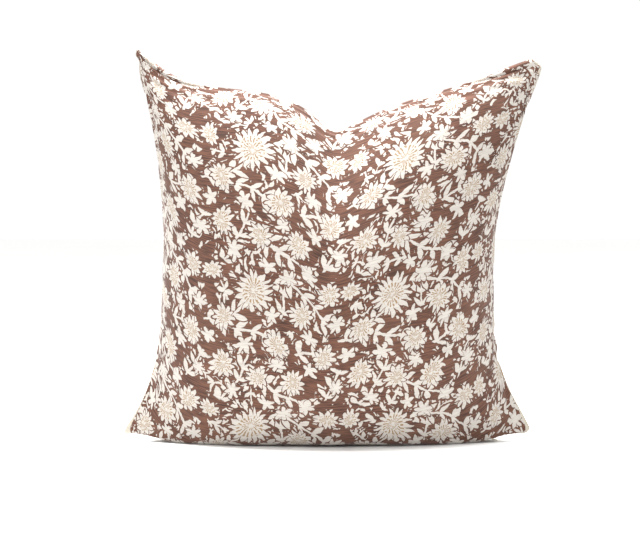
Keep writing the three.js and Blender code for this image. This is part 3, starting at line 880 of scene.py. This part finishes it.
def satin_ribbon():
    """Woven satin label tape: white with a silky sheen and a fine crosswise rib."""
    return grained("woven_satin", "TexWave", {"Scale": WAVE_BAND / 0.0004, "Distortion": 0.2},
                   "#fbfaf6", "#ebe7df", 0.00005, {"Roughness": 0.38, "Sheen Weight": 0.2},
                   bands_direction="Z")


def white_paint():
    """Matt emulsion on a studio floor: near white and very faintly uneven."""
    return grained("matt_white_paint", "TexNoise", {"Scale": 1 / 0.4, "Detail": 2},
                   "#fbfbfa", "#f8f8f7", 0.0001, {"Roughness": 0.9, "Specular IOR Level": 0.1})


# ---- the pieces

SEWN = {}  # the sewn and filled cover's points, which the pieces inside it follow


def sewn(key):
    """One of the sewn cover's grids of points."""
    if not SEWN:
        raise RuntimeError("The cover is built first, because the other pieces follow its shape")
    return SEWN[key]


def laid_on(surface, node, rows=24, columns=16, lift=0.0006):
    """A grid of points on the back of a surface, over the same place as a CAD node."""
    low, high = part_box(node)
    tree = BVHTree.FromObject(surface, bpy.context.evaluated_depsgraph_get())
    points = np.empty((rows, columns, 3))
    for row, z in enumerate(np.linspace(low[2], high[2], rows)):
        for column, x in enumerate(np.linspace(low[0], high[0], columns)):
            place, normal, _, _ = tree.ray_cast(Vector((x, 1, z)), Vector((0, -1, 0)))
            if place is None:
                raise RuntimeError(f"{node} isn't over {surface.name}")
            points[row, column] = place + normal * lift
    return points


class PILLOW_OT_cover(bpy.types.Operator):
    """Cuts, sews and fills the cover, and makes its printed front and plain back"""
    bl_idname = "pillow.cover"
    bl_label = "Cover"

    def execute(self, context):
        settings = context.scene.pillow_cover
        front, back, u, v = simulated_panels(settings)
        SEWN.update(front=front, back=back, flat=(u, v))
        plain = plain_cloth("undyed_slub_cotton", "#b7b0a4", "#a1988a", 0.7)
        panels = [
            ("printed_front_panel", "cover_front_panel", front, FRONT, printed_cotton(), "printed_cotton"),
            ("plain_back_panel", "cover_back_panel", back, BACK, plain, "plain_linen"),
        ]
        for name, node, points, side, material, slot in panels:
            own_points = parted_at_seam(points, u, v, side, settings)
            panel = make_sheet(name, own_points, side, settings.cloth, settings.panel, (u, v))
            hand_over(panel, material, "cover", node)
        return {"FINISHED"}


def kept_inside(points, side, panel, clearance=0.003):
    """The points, moved in where they would come through a panel of the cover."""
    tree = BVHTree.FromObject(panel, bpy.context.evaluated_depsgraph_get())
    kept = points.copy()
    for point in kept.reshape(-1, 3):
        place, _, _, _ = tree.ray_cast(Vector((point[0], side, point[2])), Vector((0, -side, 0)))
        limit = 0 if place is None else max(0, side * place[1] - clearance)
        point[1] = side * min(side * point[1], limit)
    return kept


class PILLOW_OT_insert(bpy.types.Operator):
    """Makes the feather insert: two shells of downproof cotton round one body of feathers"""
    bl_idname = "pillow.insert"
    bl_label = "Insert"

    def execute(self, context):
        settings = context.scene.pillow_insert
        cover = context.scene.pillow_cover
        u, v = sewn("flat")
        side_length = cover.panel * settings.shell_scale
        downproof = plain_cloth("downproof_cotton", "#f7f5ef", "#e9e5db", 0.4)
        filling = []
        for name, node, key, side, panel in (
                ("insert_shell_front", "insert_front_shell", "front", FRONT, "printed_front_panel"),
                ("insert_shell_back", "insert_back_shell", "back", BACK, "plain_back_panel")):
            panel = context.scene.objects[panel]
            scale = out_of_ears(settings.shell_scale, u, v, settings)
            points = kept_inside(nested(sewn(key), scale, settings), side, panel)
            own_points = parted_at_seam(points, u, v, side, cover)
            shell = make_sheet(name, own_points, side, settings.cloth, side_length, (u, v))
            hand_over(shell, downproof, "cover", node)
            inner = nested(sewn(key), scale - settings.shell_scale + settings.fill_scale, settings)
            filling.append(kept_inside(inner, side, shell, settings.cloth * 3))

        numbers = sewn_numbers(u.shape[0] - 1)
        faces = grid_faces(numbers[0], FRONT) + grid_faces(numbers[1], BACK)
        fill = new_object("feather_fill", sewn_points(*filling), faces)
        add_modifier(fill, "SUBSURF", levels=1, render_levels=1)
        apply_modifiers(fill)
        hand_over(fill, feathers(), "cover", "insert_fill")
        return {"FINISHED"}


class PILLOW_OT_labels(bpy.types.Operator):
    """Lays the two blank labels between the insert and the back of the cover"""
    bl_idname = "pillow.labels"
    bl_label = "Labels"

    def execute(self, context):
        settings = context.scene.pillow_insert
        shell = context.scene.objects["insert_shell_back"]
        satin = satin_ribbon()
        for name, node, flat in (("care_label_satin", "care_label", CARE_LABEL),
                                 ("insert_label_satin", "insert_label", INSERT_LABEL)):
            points = laid_on(shell, node)
            grid = np.meshgrid(np.linspace(-1, 1, points.shape[1]), np.linspace(-1, 1, points.shape[0]))
            label = make_sheet(name, points, BACK, settings.label, flat[1], grid, smooth=0)
            hand_over(label, satin, "cover", node)
        return {"FINISHED"}


class PILLOW_OT_seam_stitches(bpy.types.Operator):
    """Sews the seams of the cover and of the insert"""
    bl_idname = "pillow.seam_stitches"
    bl_label = "Seam Stitches"

    def execute(self, context):
        insert = context.scene.pillow_insert
        zip_settings = context.scene.pillow_zip
        loop = seam_loop(sewn("front"))
        zip_low, zip_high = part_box("zipper_tape_front")
        end_clearance = 0.006
        bottom_seam_top = 0.03
        closed = ((loop[:, 0] < zip_low[0] - end_clearance) | (loop[:, 0] > zip_high[0] + end_clearance)
                  | (loop[:, 2] > bottom_seam_top))
        seams = [
            ("cover_seam_stitches", "cover_seam_stitching", loop[closed], insert.seam_scale),
            ("insert_seam_stitches", "insert_seam_stitching", loop, insert.insert_seam_scale),
        ]
        thread = spun_thread()
        for name, node, path, scale in seams:
            strands = stitches_along(nested(path, scale, insert), zip_settings.stitch)
            stitches = make_strands(name, strands, zip_settings.thread)
            hand_over(stitches, thread, "cover", node)
        return {"FINISHED"}


class PILLOW_OT_zip_coils(bpy.types.Operator):
    """Winds the two nylon coils of the zip"""
    bl_idname = "pillow.zip_coils"
    bl_label = "Zip Coils"

    def execute(self, context):
        settings = context.scene.pillow_zip
        nylon = moulded_nylon()
        for side, name in ((FRONT, "front"), (BACK, "back")):
            low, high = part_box(f"zipper_coil_{name}")
            turns = int((high[0] - low[0]) / settings.pitch)
            angle = np.linspace(0, 2 * math.pi * turns, turns * settings.facets + 1)
            x = np.linspace(low[0] + settings.wire, high[0] - settings.wire, len(angle))
            y_reach = (high[1] - low[1]) / 2 - settings.wire
            z_reach = (high[2] - low[2]) / 2 - settings.wire
            y = (low[1] + high[1]) / 2 + side * y_reach * np.cos(angle)
            z = (low[2] + high[2]) / 2 + z_reach * np.sin(angle)
            coil = make_strands(f"zip_coil_{name}", [np.column_stack([x, y, z])], settings.wire)
            hand_over(coil, nylon, "cover", f"zipper_coil_{name}")
        return {"FINISHED"}


class PILLOW_OT_zip_stitches(bpy.types.Operator):
    """Sews the two tapes of the zip along the opening"""
    bl_idname = "pillow.zip_stitches"
    bl_label = "Zip Stitches"

    def execute(self, context):
        settings = context.scene.pillow_zip
        thread = spun_thread()
        for name in ("front", "back"):
            low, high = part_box(f"zipper_stitching_{name}")
            middle = (low + high) / 2
            path = np.array([(low[0], middle[1], middle[2]), (high[0], middle[1], middle[2])])
            stitches = make_strands(f"zip_stitches_{name}", stitches_along(path, settings.stitch),
                                    settings.thread)
            hand_over(stitches, thread, "cover", f"zipper_stitching_{name}")
        return {"FINISHED"}


class PILLOW_OT_zip_parts(bpy.types.Operator):
    """Finishes the zip's tapes, stops, slider and pull tab"""
    bl_idname = "pillow.zip_parts"
    bl_label = "Zip Parts"

    def execute(self, context):
        tape, nylon, zinc = twill_tape(), moulded_nylon(), enamelled_zinc()
        finishes = {
            "zipper_tape_front": tape, "zipper_tape_back": tape,
            "zipper_top_stop_front": nylon, "zipper_top_stop_back": nylon, "zipper_bottom_stop": nylon,
            "zipper_slider": zinc, "zipper_pull_tab": zinc,
        }
        for name, material in finishes.items():
            mesh = NODES[name].data
            mesh.materials.clear()
            mesh.materials.append(material)
        return {"FINISHED"}


class PILLOW_OT_stage(bpy.types.Operator):
    """Sets up the pale floor, the soft light and the camera"""
    bl_idname = "pillow.stage"
    bl_label = "Stage"

    def execute(self, context):
        settings = context.scene.pillow_stage
        bpy.ops.object.select_all(action="DESELECT")
        bpy.ops.mesh.primitive_plane_add(size=settings.floor, location=(0, 0, -settings.floor_gap))
        floor = context.active_object
        floor.name = "studio_floor"
        floor.data.materials.append(white_paint())

        world = bpy.data.worlds.new("soft_white_room")
        context.scene.world = world
        world.use_nodes = True
        background = world.node_tree.nodes["Background"]
        background.inputs["Color"].default_value = linear("#ffffff")
        background.inputs["Strength"].default_value = settings.room_light
        aim = Vector(settings.aim)
        for name, place, size, watts in SOFT_BOXES:
            bpy.ops.object.light_add(type="AREA", location=place)
            light = context.active_object
            light.name = name
            light.data.size = size
            light.data.energy = watts
            light.rotation_euler = (aim - light.location).to_track_quat("-Z", "Y").to_euler()

        tilt = settings.elevation
        back_to_camera = Vector((0, -math.cos(tilt), math.sin(tilt)))
        bpy.ops.object.camera_add(location=aim + back_to_camera * settings.distance)
        camera = context.active_object
        camera.data.lens = settings.lens
        camera.rotation_euler = (-back_to_camera).to_track_quat("-Z", "Y").to_euler()
        context.scene.camera = camera
        context.scene.view_settings.view_transform = "Standard"
        return {"FINISHED"}


class PILLOW_PT_panel(bpy.types.Panel):
    """Lists the pillow's pieces and their sizes"""
    bl_label = "Throw Pillow"
    bl_idname = "PILLOW_PT_panel"
    bl_space_type = "VIEW_3D"
    bl_region_type = "UI"
    bl_category = "Pillow"

    def draw(self, context):
        for name in SETTINGS:
            settings = getattr(context.scene, name)
            box = self.layout.box()
            for key in settings.__annotations__:
                box.prop(settings, key)
        for operator in OPERATORS:
            self.layout.operator(operator.bl_idname)


# ---- add-on

SETTINGS = {
    "pillow_cover": CoverSettings,
    "pillow_insert": InsertSettings,
    "pillow_zip": ZipSettings,
    "pillow_stage": StageSettings,
}
OPERATORS = [
    PILLOW_OT_cover, PILLOW_OT_insert, PILLOW_OT_labels, PILLOW_OT_seam_stitches, PILLOW_OT_zip_coils,
    PILLOW_OT_zip_stitches, PILLOW_OT_zip_parts, PILLOW_OT_stage,
]


def register():
    for name, group in SETTINGS.items():
        bpy.utils.register_class(group)
        setattr(bpy.types.Scene, name, bpy.props.PointerProperty(type=group))
    for item in [*OPERATORS, PILLOW_PT_panel]:
        bpy.utils.register_class(item)


def unregister():
    for item in [PILLOW_PT_panel, *reversed(OPERATORS)]:
        bpy.utils.unregister_class(item)
    for name, group in reversed(SETTINGS.items()):
        delattr(bpy.types.Scene, name)
        bpy.utils.unregister_class(group)


def main():
    register()
    for operator in OPERATORS:
        group, name = operator.bl_idname.split(".")
        getattr(getattr(bpy.ops, group), name)()


if __name__ == "__main__":
    main()
